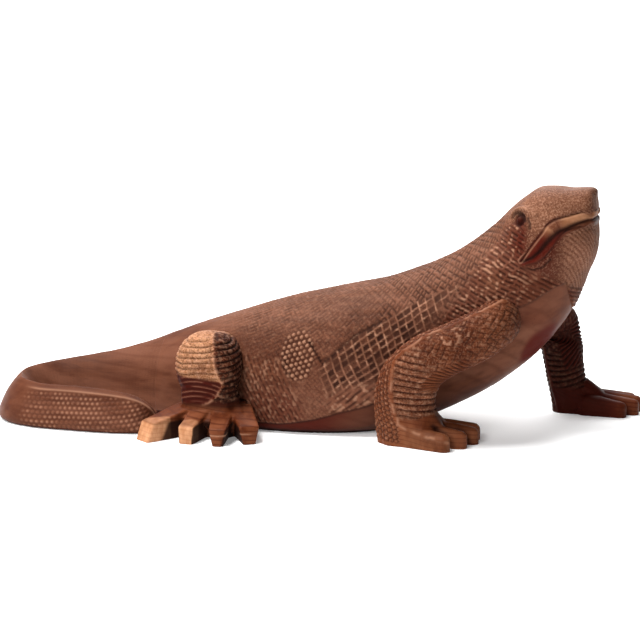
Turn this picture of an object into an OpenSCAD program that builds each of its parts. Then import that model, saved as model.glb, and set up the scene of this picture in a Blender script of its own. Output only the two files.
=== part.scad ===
// Carved wooden lizard: one long body with the head on it, and a tail and four legs held on by glued dowels.
// +X runs forward along the body, +Y is the animal's left and +Z is up. Belly, feet and tail rest on Z = 0.

/* [Body and tail] */
// Widest width of the body
body_w = 80; // [74:1:84]
// Widest width of the head, across the jaws
head_w = 50; // [46:1:52]
// Width of the tail where it leaves the body
tail_w = 42; // [38:1:44]
// Diameter of an eyeball
eye_d = 7.6; // [6:0.2:8]
// Width of the groove of the mouth
mouth_w = 1.6; // [1:0.1:2.2]

/* [Legs] */
// Thickness of a front leg, across its flat
arm_t = 23; // [21:1:25]
// Width of a knee of a hind leg
knee_w = 33; // [30:1:35]
// Width of a front toe
front_toe_w = 9; // [8:0.2:9.6]
// Width of a hind toe
hind_toe_w = 11; // [10:0.2:12]

/* [Dowels] */
// Diameter of the dowels that hold the legs
leg_dowel_d = 6; // [5:0.5:7]
// Diameter of the dowel that holds the tail
tail_dowel_d = 9; // [8:0.5:10]
// Glue gap round a dowel, on the radius
glue_gap = 0.1; // [0.05:0.01:0.2]

/* [Hidden] */

wood = "#8a5038";
leg_wood = "#9a5c3e";
dowel_wood = "#c9a06c";

body_sides = 36;     // corners of a body or tail section
leg_sides = 24;      // corners of a leg section
groove_sides = 8;    // corners of a groove or ridge section
ball_sides = 12;     // facets round a toe's end
steps = 3;           // rings from one station to the next
below = 3;           // how far the shapes reach under the ground before they are cut flat
big = 400;           // larger than the figure
tall = 150;          // higher than the figure

// Everything is moved by this, so that the origin is under the middle of the figure.
centre_shift = [19.7, -0.65, 0];

// A station of a loft is [top x, y, z, bottom x, y, z, half width, share of the height at the widest level,
// upper power, lower power]. A power of 2 is an ellipse, a lower one is ridged and a higher one is square.
body_hw = body_w / 2;
head_hw = head_w / 2;
body_line = [
  [-105, 0, 42, -105, 0, -below, 0.54 * body_hw, 0.34, 1.9, 3.6],
  [ -84, 0, 50,  -83, 0, -below, 0.71 * body_hw, 0.32, 2.0, 4.0],
  [ -58, 0, 59,  -56, 0, -below, 0.91 * body_hw, 0.30, 2.0, 4.4],
  [ -30, 0, 68,  -27, 0, -below, 1.00 * body_hw, 0.30, 2.0, 4.4],
  [  -5, 2, 74,    2, 2, -below, 1.00 * body_hw, 0.34, 2.0, 3.6],
  [  18, 4, 79,   28, 4,  0, 0.95 * body_hw, 0.42, 2.0, 2.8],
  [  36, 6, 85,   54, 6, 10, 0.87 * body_hw, 0.47, 2.0, 2.3],
  [  52, 7, 92,   76, 7, 22, 0.80 * body_hw, 0.50, 2.0, 2.1],
  [  66, 8, 101,  94, 8, 36, 0.73 * body_hw, 0.50, 2.0, 2.0],
  [  77, 8, 110, 107, 8, 50, 0.67 * body_hw, 0.50, 2.0, 2.0],
  [  85, 7, 118, 116, 7, 63, 1.01 * head_hw, 0.52, 2.3, 1.9],
  [  92, 6, 124, 121, 6, 74, 1.00 * head_hw, 0.54, 2.8, 1.8],
  [  99, 5, 128.5, 125.5, 5, 86, 0.95 * head_hw, 0.56, 3.2, 1.8],
  [ 107, 5, 129.5, 129, 5, 95, 0.84 * head_hw, 0.56, 3.2, 2.0],
  [ 115, 5, 129, 130, 5, 103, 0.70 * head_hw, 0.54, 3.0, 2.2],
  [ 122, 5, 129.5, 129.5, 5, 110, 0.56 * head_hw, 0.52, 2.8, 2.4],
  [ 126, 5, 129, 129, 5, 114, 0.44 * head_hw, 0.50, 2.6, 2.4],
  [ 128, 5, 126, 129, 5, 117, 0.26 * head_hw, 0.50, 2.2, 2.2]
];
head_mid = 5;        // Y of the head's middle

tail_hw = tail_w / 2;
tail_line = [
  [-105,   0, 42, -105,   0, -below, 1.03 * tail_hw, 0.34, 1.9, 3.6],
  [-121,  -1, 36, -121,  -1, -below, 0.86 * tail_hw, 0.33, 1.7, 3.6],
  [-139,  -4, 31, -139,  -4, -below, 0.76 * tail_hw, 0.30, 1.6, 3.8],
  [-156, -10, 28, -156, -10, -below, 0.69 * tail_hw, 0.26, 1.5, 3.8],
  [-170, -20, 26, -171, -20, -below, 0.64 * tail_hw, 0.22, 1.4, 3.8],
  [-176, -35, 25, -178, -34, -below, 0.62 * tail_hw, 0.20, 1.3, 3.8],
  [-170, -51, 24, -171, -48, -below, 0.60 * tail_hw, 0.22, 1.3, 3.8],
  [-156, -58, 23, -156, -54, -below, 0.57 * tail_hw, 0.24, 1.3, 3.8],
  [-138, -59, 23, -138, -55, -below, 0.54 * tail_hw, 0.26, 1.3, 3.8],
  [-119, -58, 22, -119, -55, -below, 0.52 * tail_hw, 0.28, 1.3, 3.8],
  [-103, -56, 19.5, -103, -54, -below, 0.46 * tail_hw, 0.32, 1.4, 3.4],
  [ -94, -54, 14,  -94, -53, -below, 0.34 * tail_hw, 0.36, 1.8, 3.0],
  [ -90, -53,  7,  -90, -53, -1, 0.16 * tail_hw, 0.40, 2.0, 2.5]
];

// For a front leg the top of a station lies on the back of the leg and its bottom in the crook.
arm = arm_t / 2;
right_arm = [
  [ 84,  -6, 74,  86,  -8, 53, 0.84 * arm, 0.5, 2.2, 2.2],
  [ 82, -20, 74,  85, -22, 50, 0.94 * arm, 0.5, 2.2, 2.2],
  [ 75, -29, 70,  80, -29, 45, 1.00 * arm, 0.5, 2.2, 2.2],
  [ 61, -35, 63,  68, -34, 39, 1.00 * arm, 0.5, 2.2, 2.2],
  [ 44, -40, 55,  60, -37, 34, 0.98 * arm, 0.5, 2.3, 2.2],
  [ 31, -41, 43,  57, -37, 30, 0.94 * arm, 0.5, 2.4, 2.2],
  [ 25, -39, 29,  55, -35, 24, 0.90 * arm, 0.5, 2.4, 2.2],
  [ 24, -36, 14,  55, -33, 17, 0.86 * arm, 0.5, 2.4, 2.2],
  [ 25, -34, -3,  57, -32,  9, 0.84 * arm, 0.5, 2.4, 2.2]
];
left_arm = [
  [ 84, 18, 78,  90, 18, 54, 0.80 * arm, 0.5, 2.2, 2.2],
  [ 87, 32, 75,  95, 32, 51, 0.92 * arm, 0.5, 2.2, 2.2],
  [ 92, 46, 69, 104, 41, 48, 0.98 * arm, 0.5, 2.2, 2.2],
  [ 96, 55, 57, 113, 46, 44, 0.96 * arm, 0.5, 2.2, 2.2],
  [ 96, 58, 40, 117, 49, 38, 0.90 * arm, 0.5, 2.3, 2.2],
  [ 98, 59, 25, 118, 52, 28, 0.84 * arm, 0.5, 2.3, 2.2],
  [101, 59, 11, 120, 54, 17, 0.84 * arm, 0.5, 2.4, 2.2],
  [103, 59, -3, 126, 56,  9, 0.86 * arm, 0.5, 2.4, 2.2]
];
knee_hw = knee_w / 2;
right_thigh = [
  [-65,  -8, 46, -65,  -8, 12, 0.74 * knee_hw, 0.5, 2.2, 2.2],
  [-65, -26, 50, -65, -26, 13, 0.90 * knee_hw, 0.5, 2.2, 2.2],
  [-65, -40, 53, -65, -40, 15, 1.00 * knee_hw, 0.5, 2.3, 2.3],
  [-64, -50, 52, -64, -49, 17, 0.98 * knee_hw, 0.5, 2.3, 2.3],
  [-64, -56, 48, -64, -55, 21, 0.78 * knee_hw, 0.5, 2.2, 2.2],
  [-64, -59, 40, -64, -58, 29, 0.36 * knee_hw, 0.5, 2.0, 2.0]
];

// A toe is [knuckle x, y, z, tip x, y, z] and tapers to the tip. A hind toe's z is that of its flat top.
// A sole is a list of [x, y, z, diameter].
right_hand = [
  [40, -41, 7.0, 62, -47, 5.4], [50, -38, 7.6, 69, -38, 5.2], [51, -30, 7.6, 73, -28, 5.2], [50, -24, 7.2, 72, -19, 5.0]
];
right_palm = [[31, -37, 4, 11], [32, -29, 5, 11], [50, -38, 7, 11], [50, -27, 7, 10]];
right_instep = [
  [35, -39, 14, 13], [36, -31, 14, 13], [49, -37, 14.5, 12], [49, -30, 14, 11],
  [57, -38, 8.2, 7.5], [57, -29, 8.2, 7.5], [50, -42, 7.5, 8]
];
left_hand = [
  [121, 51, 7.2, 140, 50, 5.0], [123, 57, 7.6, 146, 58, 5.2], [122, 64, 7.6, 147, 67, 5.2], [118, 69, 7.0, 143, 74, 5.0]
];
left_palm = [[108, 54, 5, 11], [109, 62, 4, 11], [121, 54, 7, 11], [120, 66, 7, 10]];
left_instep = [
  [108, 56, 14, 12], [109, 62, 13, 11], [119, 55, 14, 11], [118, 61, 13, 10],
  [128, 56, 8.2, 7.5], [127, 64, 8, 7.5]
];
right_foot = [
  [-72, -45, 16.3, -88, -69.5, 9.6], [-65, -48, 16.3, -66.5, -71, 9],
  [-54, -48, 16.3, -49.5, -71, 9], [-47, -45, 16.3, -35.5, -62.5, 9.4]
];
// For each hind toe: extra width, width of its sole over that of its top, how far the sole reaches ahead.
right_foot_shapes = [[3.5, 0.80, 4.0], [0, 0.62, 0.8], [0.5, 0.34, 0.5], [2, 0.42, 0.5]];
foot_slab = [
  [-72, -32, 15.5], [-48, -32, 15.5], [-74, -49, 15.2], [-46, -49, 15.2],
  [-79, -55, 11], [-68, -60, 9], [-50, -60, 9], [-42, -55, 11]
];
foot_slab_sole = [[-71, -32], [-49, -32], [-71, -46], [-49, -46]];
foot_stem = [
  [-70.5, -46, 18, 10], [-51.5, -46, 18, 10], [-70, -52, 17.5, 7], [-53, -52, 17.5, 7],
  [-72.5, -50, 28, 10], [-53.5, -50, 28, 10], [-71, -52, 24, 8], [-53, -52, 24, 8]
];
slab_edge = 3;       // roundness of the slab's upper edges
toe_taper = 0.78;    // width of a toe's end over the width at its knuckle
hind_toe_taper = 0.82;
toe_edge = 1.6;      // roundness of a hind toe's upper edges

// Grooves and ridges of the head's right side: [x, y from the head's middle, z] and so on along the cut.
mouth_path = [
  [129.2, 0, 114.5], [128.6, -8, 114.6], [126.5, -14, 114.8], [121, -19, 113.5], [114.5, -22.2, 112.5],
  [110.5, -23.2, 110.8], [107.5, -23.7, 107.4], [101, -23.6, 98.7], [98, -23, 94]
];
brow_path = [[88, -12.5, 115], [90, -14.5, 118.2], [93.5, -17.5, 119.4], [97, -20.3, 119], [100, -21.8, 117.4]];
brow_d = 4;          // thickness of the ridge over an eye
eye_at = [94.2, -20, 113.8];

// Dowels: [middle x, y, z]. Those of the legs lie along Y and the one of the tail along X.
leg_dowel_l = 24;
front_right_pins = [[83, -20, 66], [84, -20, 56]];
front_left_pins = [[95, 32, 65], [94, 31, 55]];
hind_right_pins = [[-66, -33, 40], [-61, -33, 24]];
left_hind_x = 6;     // the left hind leg stands this far ahead of the right one
tail_dowel_l = 44;
tail_dowel_at = [-105, 0, 19];
pin_facets = 48;

// Smooth curve through the stations.
function spline(a, b, c, d, t) =
  0.5 * (2 * b + (c - a) * t + (2 * a - 5 * b + 4 * c - d) * t * t + (3 * b - a - 3 * c + d) * t * t * t);
function smooth_line(line, m) = let (n = len(line)) [
  for (i = [0 : n - 2], k = [0 : m - 1])
    spline(line[max(i - 1, 0)], line[i], line[i + 1], line[min(i + 2, n - 1)], k / m),
  line[n - 1]
];
function top_of(s) = [s[0], s[1], s[2]];
function foot_of(s) = [s[3], s[4], s[5]];
function middle_of(s) = foot_of(s) + (top_of(s) - foot_of(s)) * s[7];
function unit(v) = v / norm(v);
function power(x, p) = sign(x) * pow(abs(x), 2 / p);

// One section: a closed curve through the station's top and bottom, as wide as the station says.
function section(s, along, sides) =
  let (up = top_of(s) - foot_of(s), across = unit(cross(up, along)), mid = middle_of(s))
  [for (i = [0 : sides - 1]) let (a = 360 * i / sides, p = sin(a) >= 0 ? s[8] : s[9])
    mid + across * s[6] * power(cos(a), p) + up * (sin(a) >= 0 ? 1 - s[7] : s[7]) * power(sin(a), p)];

function ring_faces(n, sides) = concat(
  [for (i = [0 : n - 2], j = [0 : sides - 1])
    let (k = (j + 1) % sides, a = i * sides + j, b = i * sides + k)
    each [[a, b + sides, b], [a, a + sides, b + sides]]],
  [[for (j = [0 : sides - 1]) j], [for (j = [sides - 1 : -1 : 0]) (n - 1) * sides + j]]
);

module loft(line, sides) {
  rings = smooth_line(line, steps);
  n = len(rings);
  points = [for (i = [0 : n - 1])
    each section(rings[i], middle_of(rings[min(i + 1, n - 1)]) - middle_of(rings[max(i - 1, 0)]), sides)];
  polyhedron(points, ring_faces(n, sides), convexity = 6);
}

// A round rod through the points of a path.
module rod(path, d) {
  rings = smooth_line(path, steps);
  n = len(rings);
  points = [for (i = [0 : n - 1])
    let (along = unit(rings[min(i + 1, n - 1)] - rings[max(i - 1, 0)]),
         across = unit(cross([0, 0, 1], along)), up = cross(along, across))
    for (j = [0 : groove_sides - 1]) let (a = 360 * j / groove_sides)
      rings[i] + (across * cos(a) + up * sin(a)) * d / 2];
  polyhedron(points, ring_faces(n, groove_sides), convexity = 6);
}

module toe(t, w) {
  hull() {
    translate([t[0], t[1], t[2]]) sphere(d = w, $fn = ball_sides);
    translate([t[3], t[4], t[5]]) sphere(d = w * toe_taper, $fn = ball_sides);
    translate([t[0], t[1], -1]) cylinder(d = w, h = 1, $fn = ball_sides);
    translate([t[3], t[4], -1]) cylinder(d = w * toe_taper, h = 1, $fn = ball_sides);
  }
}

// Hind toes are notched out of a slab, so each is wider at the top than at the sole.
module hind_toe(t, shape) {
  w = hind_toe_w + shape[0];
  knuckle = [t[0], t[1]];
  tip = [t[3], t[4]];
  ahead = (tip - knuckle) / norm(tip - knuckle);
  side = [-ahead[1], ahead[0]];
  nose = tip + ahead * 1.1;
  hull() {
    for (k = [-1, 1], e = [[knuckle, t[2], w, 0], [tip, t[5], w * hind_toe_taper, shape[2]]]) {
      top = e[0] + side * k * (e[2] - toe_edge) / 2;
      bottom = e[0] + side * k * e[2] * shape[1] / 2 + ahead * e[3];
      translate([top[0], top[1], e[1] - toe_edge / 2]) sphere(d = toe_edge, $fn = groove_sides);
      translate([bottom[0], bottom[1], -1]) cylinder(d = toe_edge, h = 1, $fn = groove_sides);
    }
    translate([nose[0], nose[1], t[5] * 0.52]) sphere(d = toe_edge, $fn = groove_sides);
  }
}

// The slab the hind toes are notched out of, lower toward the toes.
module slab(top, under) {
  hull() {
    for (p = top) translate(p) sphere(d = slab_edge, $fn = ball_sides);
    for (p = under) translate([p[0], p[1], -1]) cylinder(d = slab_edge + 1, h = 1, $fn = ball_sides);
  }
}

module sole(pads) {
  hull()
    for (p = pads) {
      translate([p[0], p[1], p[2]]) sphere(d = p[3], $fn = ball_sides);
      translate([p[0], p[1], -1]) cylinder(d = p[3], h = 1, $fn = ball_sides);
    }
}

module below_ground() {
  translate([-big / 2, -big / 2, -big]) cube([big, big, big]);
}

module leg_pin(at, d) {
  translate([at[0], at[1] - leg_dowel_l / 2, at[2]]) rotate([-90, 0, 0])
    cylinder(d = d, h = leg_dowel_l, $fn = pin_facets);
}

module tail_pin(d) {
  translate([tail_dowel_at[0] - tail_dowel_l / 2, tail_dowel_at[1], tail_dowel_at[2]]) rotate([0, 90, 0])
    cylinder(d = d, h = tail_dowel_l, $fn = pin_facets);
}

module leg_bores(pins) {
  for (p = pins) leg_pin(p, leg_dowel_d + 2 * glue_gap);
}

module mirrored() {
  mirror([0, 1, 0]) children();
}

module to_left_hind() {
  translate([left_hind_x, 0, 0]) mirrored() children();
}

module both_sides_of_head() {
  translate([0, head_mid, 0]) {
    children();
    mirrored() children();
  }
}

module plain_body() {
  loft(body_line, body_sides);
}

// The body as carved, before its bores.
module body_shape() {
  difference() {
    union() {
      plain_body();
      both_sides_of_head() {
        rod(brow_path, brow_d);
        translate(eye_at) sphere(d = eye_d, $fn = ball_sides);
      }
    }
    both_sides_of_head() rod(mouth_path, mouth_w);
  }
}

module body() {
  color(wood) difference() {
    resize([0, 0, 0]) body_shape();
    below_ground();
    leg_bores(front_right_pins);
    leg_bores(front_left_pins);
    leg_bores(hind_right_pins);
    to_left_hind() leg_bores(hind_right_pins);
    tail_pin(tail_dowel_d + 2 * glue_gap);
  }
}

module tail() {
  color(wood) difference() {
    resize([0, 0, 0]) loft(tail_line, body_sides);
    below_ground();
    tail_pin(tail_dowel_d + 2 * glue_gap);
  }
}

// A leg's root is scribed to the body, and it keeps its own bores and flat sole.
module front_leg(line, toes, palm, instep, pins) {
  color(leg_wood) difference() {
    resize([0, 0, 0]) difference() {
      union() {
        loft(line, leg_sides);
        sole(palm);
        sole(instep);
        for (t = toes) toe(t, front_toe_w);
      }
      plain_body();
    }
    below_ground();
    leg_bores(pins);
  }
}

module hind_leg_shape() {
  union() {
    loft(right_thigh, leg_sides);
    slab(foot_slab, foot_slab_sole);
    sole(foot_stem);
    for (i = [0 : 3]) hind_toe(right_foot[i], right_foot_shapes[i]);
  }
}

module front_leg_right() { front_leg(right_arm, right_hand, right_palm, right_instep, front_right_pins); }
module front_leg_left() { front_leg(left_arm, left_hand, left_palm, left_instep, front_left_pins); }
module hind_leg_right() {
  color(leg_wood) difference() {
    resize([0, 0, 0]) difference() {
      hind_leg_shape();
      plain_body();
    }
    below_ground();
    leg_bores(hind_right_pins);
  }
}
module hind_leg_left() {
  color(leg_wood) difference() {
    resize([0, 0, 0]) difference() {
      to_left_hind() hind_leg_shape();
      plain_body();
    }
    below_ground();
    to_left_hind() leg_bores(hind_right_pins);
  }
}
module tail_dowel() { color(dowel_wood) tail_pin(tail_dowel_d); }
module front_right_upper_dowel() { color(dowel_wood) leg_pin(front_right_pins[0], leg_dowel_d); }
module front_right_lower_dowel() { color(dowel_wood) leg_pin(front_right_pins[1], leg_dowel_d); }
module front_left_upper_dowel() { color(dowel_wood) leg_pin(front_left_pins[0], leg_dowel_d); }
module front_left_lower_dowel() { color(dowel_wood) leg_pin(front_left_pins[1], leg_dowel_d); }
module hind_right_upper_dowel() { color(dowel_wood) leg_pin(hind_right_pins[0], leg_dowel_d); }
module hind_right_lower_dowel() { color(dowel_wood) leg_pin(hind_right_pins[1], leg_dowel_d); }
module hind_left_upper_dowel() { color(dowel_wood) to_left_hind() leg_pin(hind_right_pins[0], leg_dowel_d); }
module hind_left_lower_dowel() { color(dowel_wood) to_left_hind() leg_pin(hind_right_pins[1], leg_dowel_d); }

translate(centre_shift) {
  body();
  tail();
  front_leg_right();
  front_leg_left();
  hind_leg_right();
  hind_leg_left();
  tail_dowel();
  front_right_upper_dowel();
  front_right_lower_dowel();
  front_left_upper_dowel();
  front_left_lower_dowel();
  hind_right_upper_dowel();
  hind_right_lower_dowel();
  hind_left_upper_dowel();
  hind_left_lower_dowel();
}
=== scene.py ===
import math
import bmesh
import bpy
import numpy as np
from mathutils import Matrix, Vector
from mathutils.bvhtree import BVHTree
from mathutils.kdtree import KDTree


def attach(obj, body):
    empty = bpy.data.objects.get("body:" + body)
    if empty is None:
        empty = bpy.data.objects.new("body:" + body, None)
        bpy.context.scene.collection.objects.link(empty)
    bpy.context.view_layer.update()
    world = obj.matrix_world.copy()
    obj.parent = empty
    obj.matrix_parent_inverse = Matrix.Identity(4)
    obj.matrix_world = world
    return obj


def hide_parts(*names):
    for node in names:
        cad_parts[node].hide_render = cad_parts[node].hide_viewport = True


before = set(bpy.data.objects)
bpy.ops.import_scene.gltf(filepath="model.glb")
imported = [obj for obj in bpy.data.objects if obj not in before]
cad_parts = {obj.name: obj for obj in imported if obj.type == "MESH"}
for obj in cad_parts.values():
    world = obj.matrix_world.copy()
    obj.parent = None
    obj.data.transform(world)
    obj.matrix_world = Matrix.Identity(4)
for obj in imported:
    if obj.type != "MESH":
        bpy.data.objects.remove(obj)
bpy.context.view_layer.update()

# Shapes are worked out in millimetres where the stations are measured, then moved by SHIFT and scaled.
SHIFT = np.array([19.7, -0.65, 0.0])
MM = 0.001
FINE = 1.0
BELOW = -3.0                               # lower end of the sections that are cut off flat at 0
# What the vertices tell the material, each from 0 to 1: dark cuts and painted shade, worn pale edges and
# painted glints, sheen and highlights, pale sapwood, reddish wood and painted shade, smooth wood and stippled
# wood.
LAYERS = ("cut", "wear_and_glint", "sap", "red", "plain", "grit")

# Stations: top x, y, z, bottom x, y, z, half width, share of the height at the widest level, and how square
# the section is above and below that level.
BODY = np.array([
    [-105, 0, 42, -105, 0, BELOW, 21.6, 0.34, 1.9, 3.6],
    [-84, 0, 50, -83, 0, BELOW, 28.4, 0.32, 2.0, 4.0],
    [-58, 0, 59, -56, 0, BELOW, 36.4, 0.30, 2.0, 4.4],
    [-30, 0, 68, -27, 0, BELOW, 40.0, 0.30, 2.0, 4.4],
    [-5, 2, 74, 2, 2, BELOW, 40.0, 0.34, 2.0, 3.6],
    [18, 4, 79, 28, 4, 0, 38.0, 0.42, 2.0, 2.8],
    [36, 6, 85, 54, 6, 10, 34.8, 0.47, 2.0, 2.3],
    [52, 7, 92, 76, 7, 22, 32.0, 0.50, 2.0, 2.1],
    [66, 8, 101, 94, 8, 36, 29.2, 0.50, 2.0, 2.0],
    [77, 8, 110, 107, 8, 50, 26.8, 0.50, 2.0, 2.0],
    [85, 7, 118, 116, 7, 63, 25.25, 0.52, 2.3, 1.9],
    [92, 6, 124, 121, 6, 74, 25.0, 0.54, 2.8, 1.8],
    [99, 5, 128.5, 125.5, 5, 86, 23.75, 0.56, 3.2, 1.8],
    [107, 5, 129.5, 129, 5, 95, 21.0, 0.56, 3.2, 2.0],
    [115, 5, 129, 130, 5, 103, 17.5, 0.54, 3.0, 2.2],
    [122, 5, 129.5, 129.5, 5, 110, 14.0, 0.52, 2.8, 2.4],
    [126, 5, 129, 129, 5, 114, 11.0, 0.50, 2.6, 2.4],
    [128, 5, 126, 129, 5, 117, 6.5, 0.50, 2.2, 2.2],
])
TAIL = np.array([
    [-105, 0, 42, -105, 0, BELOW, 21.6, 0.34, 1.9, 3.6],
    [-121, -1, 36, -121, -1, BELOW, 18.1, 0.33, 1.7, 3.6],
    [-139, -4, 31, -139, -4, BELOW, 16.0, 0.30, 1.6, 3.8],
    [-156, -10, 28, -156, -10, BELOW, 14.5, 0.26, 1.5, 3.8],
    [-170, -20, 26, -171, -20, BELOW, 13.4, 0.22, 1.4, 3.8],
    [-176, -35, 25, -178, -34, BELOW, 13.0, 0.20, 1.3, 3.8],
    [-170, -51, 24, -171, -48, BELOW, 12.6, 0.22, 1.3, 3.8],
    [-156, -58, 23, -156, -54, BELOW, 12.0, 0.24, 1.3, 3.8],
    [-138, -59, 23, -138, -55, BELOW, 11.3, 0.26, 1.3, 3.8],
    [-119, -58, 22, -119, -55, BELOW, 10.9, 0.28, 1.3, 3.8],
    [-103, -56, 19.5, -103, -54, BELOW, 9.7, 0.32, 1.4, 3.4],
    [-94, -54, 14, -94, -53, BELOW, 7.1, 0.36, 1.8, 3.0],
    [-90, -53, 7, -90, -53, -1, 3.4, 0.40, 2.0, 2.5],
])
RIGHT_ARM = np.array([
    [84, -6, 74, 86, -8, 53, 9.7, 0.5, 2.2, 2.2],
    [82, -20, 74, 85, -22, 50, 10.8, 0.5, 2.2, 2.2],
    [75, -29, 70, 80, -29, 45, 11.5, 0.5, 2.2, 2.2],
    [61, -35, 63, 68, -34, 39, 11.5, 0.5, 2.2, 2.2],
    [44, -40, 55, 60, -37, 34, 11.3, 0.5, 2.3, 2.2],
    [31, -41, 43, 57, -37, 30, 10.8, 0.5, 2.4, 2.2],
    [25, -39, 29, 55, -35, 24, 10.4, 0.5, 2.4, 2.2],
    [24, -36, 14, 55, -33, 17, 9.9, 0.5, 2.4, 2.2],
    [25, -34, -3, 57, -32, 9, 9.7, 0.5, 2.4, 2.2],
])
LEFT_ARM = np.array([
    [84, 18, 78, 90, 18, 54, 9.2, 0.5, 2.2, 2.2],
    [87, 32, 75, 95, 32, 51, 10.6, 0.5, 2.2, 2.2],
    [92, 46, 69, 104, 41, 48, 11.3, 0.5, 2.2, 2.2],
    [96, 55, 57, 113, 46, 44, 11.0, 0.5, 2.2, 2.2],
    [96, 58, 40, 117, 49, 38, 10.4, 0.5, 2.3, 2.2],
    [98, 59, 25, 118, 52, 28, 9.7, 0.5, 2.3, 2.2],
    [101, 59, 11, 120, 54, 17, 9.7, 0.5, 2.4, 2.2],
    [103, 59, -3, 126, 56, 9, 9.9, 0.5, 2.4, 2.2],
])
THIGH = np.array([
    [-65, -8, 46, -65, -8, 12, 12.2, 0.5, 2.2, 2.2],
    [-65, -26, 50, -65, -26, 13, 14.9, 0.5, 2.2, 2.2],
    [-65, -40, 53, -65, -40, 15, 16.5, 0.5, 2.3, 2.3],
    [-64, -50, 52, -64, -49, 17, 16.2, 0.5, 2.3, 2.3],
    [-64, -56, 48, -64, -55, 21, 12.9, 0.5, 2.2, 2.2],
    [-64, -59, 40, -64, -58, 29, 6.0, 0.5, 2.0, 2.0],
])

# Toes: knuckle x, y, z, tip x, y, z.
RIGHT_HAND = [
    [40, -41, 7.0, 62, -47, 5.4], [50, -38, 7.6, 69, -38, 5.2],
    [51, -30, 7.6, 73, -28, 5.2], [50, -24, 7.2, 72, -19, 5.0],
]
LEFT_HAND = [
    [121, 51, 7.2, 140, 50, 5.0], [123, 57, 7.6, 146, 58, 5.2],
    [122, 64, 7.6, 147, 67, 5.2], [118, 69, 7.0, 143, 74, 5.0],
]
# Pads of the feet: x, y, z, diameter.
RIGHT_PALM = [[31, -37, 4, 11], [32, -29, 5, 11], [50, -38, 7, 11], [50, -27, 7, 10]]
LEFT_PALM = [[108, 54, 5, 11], [109, 62, 4, 11], [121, 54, 7, 11], [120, 66, 7, 10]]
RIGHT_INSTEP = [[35, -39, 14, 13], [36, -31, 14, 13], [49, -37, 14.5, 12], [49, -30, 14, 11],
                [57, -38, 8.2, 7.5], [57, -29, 8.2, 7.5], [50, -42, 7.5, 8]]
LEFT_INSTEP = [[108, 56, 14, 12], [109, 62, 13, 11], [119, 55, 14, 11], [118, 61, 13, 10],
               [128, 56, 8.2, 7.5], [127, 64, 8, 7.5]]
HIND_TOES = [
    [-72, -45, 16.3, -88, -69.5, 9.6], [-65, -48, 16.3, -66.5, -71, 9], [-54, -48, 16.3, -49.5, -71, 9],
    [-47, -45, 16.3, -35.5, -62.5, 9.4],
]
# The slab of the hind foot, x, y, z of its top and x, y of its sole, and the stem between it and the knee.
HIND_SLAB = [[-72, -32, 15.5], [-48, -32, 15.5], [-74, -49, 15.2], [-46, -49, 15.2],
             [-79, -55, 11], [-68, -60, 9], [-50, -60, 9], [-42, -55, 11]]
SLAB_SOLE = [[-71, -32], [-49, -32], [-71, -46], [-49, -46]]
STEM = [[-70.5, -46, 18, 10], [-51.5, -46, 18, 10], [-70, -52, 17.5, 7], [-53, -52, 17.5, 7],
        [-72.5, -50, 28, 10], [-53.5, -50, 28, 10], [-71, -52, 24, 8], [-53, -52, 24, 8]]
# Hind toes: width, sole width over top width, how far the sole reaches ahead of the top.
TOE_SHAPES = [(14.5, 0.80, 4.0), (11, 0.62, 0.8), (11.5, 0.34, 0.5), (13, 0.42, 0.5)]
LEFT_HIND_X = 6.0                          # the left hind leg is the right one mirrored and moved ahead
EDGE_BALL = 3                              # thickness of the slab's rounded edge


# ---- surfaces ----

def rows_at(line, u):
    """The stations in between, on a smooth curve through them, for u counted from 0 at the first."""
    n = len(line)
    i = np.clip(np.floor(u).astype(int), 0, n - 2)
    t = (u - i)[:, None]
    a, b, c, d = line[np.maximum(i - 1, 0)], line[i], line[i + 1], line[np.minimum(i + 2, n - 1)]
    bend, twist = 2 * a - 5 * b + 4 * c - d, 3 * b - a - 3 * c + d
    return 0.5 * (2 * b + (c - a) * t + bend * t * t + twist * t ** 3)


def middles(line, u):
    r = rows_at(line, u)
    return r[:, 3:6] + (r[:, :3] - r[:, 3:6]) * r[:, 7:8]


def rings_at(line, u, angles):
    """Points of the sections at u, one per angle, as an array [section, angle, xyz]."""
    r = rows_at(line, u)
    up = r[:, :3] - r[:, 3:6]
    last = len(line) - 1
    along = middles(line, np.minimum(u + 0.3, last)) - middles(line, np.maximum(u - 0.3, 0))
    across = np.cross(up, along)
    across /= np.linalg.norm(across, axis=1, keepdims=True)
    s, c = np.sin(angles)[None, :], np.cos(angles)[None, :]
    p = np.where(s >= 0, r[:, 8:9], r[:, 9:10])
    x = np.sign(c) * np.abs(c) ** (2 / p)
    y = np.sign(s) * np.abs(s) ** (2 / p)
    share = np.where(s >= 0, 1 - r[:, 7:8], r[:, 7:8])
    mid = r[:, 3:6] + up * r[:, 7:8]
    sideways = across[:, None, :] * (r[:, 6:7] * x)[..., None]
    return mid[:, None, :] + sideways + up[:, None, :] * (share * y)[..., None]


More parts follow.
